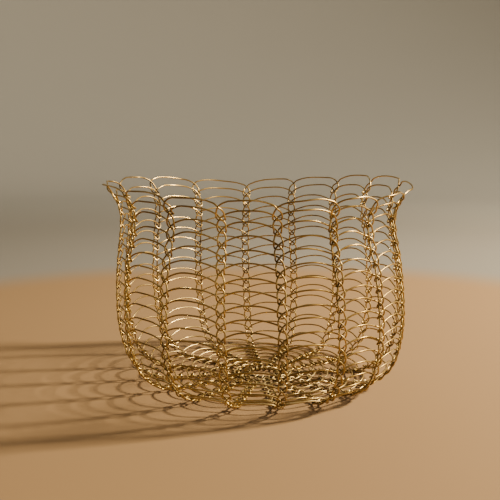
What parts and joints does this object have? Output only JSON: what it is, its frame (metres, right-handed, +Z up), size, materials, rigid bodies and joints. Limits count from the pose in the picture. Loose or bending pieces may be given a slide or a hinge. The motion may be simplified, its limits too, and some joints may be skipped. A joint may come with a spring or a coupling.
{
  "type": "wire produce basket",
  "caption": "Round open basket hand-looped from brass wire: flat looped base, gently bellied wall of crossed loops and open arcs, flared wavy rim.",
  "frame": {"origin": "middle of the basket's box on the plane it rests on, under the middle of the rim", "axes": "+Z up through the open mouth, -Y towards the side that faces a viewer, +X to that viewer's right"},
  "size_m": [0.2001, 0.2014, 0.1345],
  "materials": {
    "brass": "satin drawn wire with a light warm patina"
  },
  "bodies": {
    "root": {"centre_ring": "brass", "base_course_01": "brass", "base_course_02": "brass", "base_course_03": "brass", "base_course_04": "brass", "base_course_05": "brass", "base_course_06": "brass", "base_course_07": "brass", "base_course_08": "brass", "wall_course_01": "brass", "wall_course_02": "brass", "wall_course_03": "brass", "wall_course_04": "brass", "wall_course_05": "brass", "wall_course_06": "brass", "wall_course_07": "brass", "wall_course_08": "brass", "wall_course_09": "brass", "wall_course_10": "brass", "wall_course_11": "brass", "wall_course_12": "brass", "wall_course_13": "brass", "wall_course_14": "brass", "wall_course_15": "brass", "wall_course_16": "brass", "rim_course": "brass"}
  },
  "joints": []
}
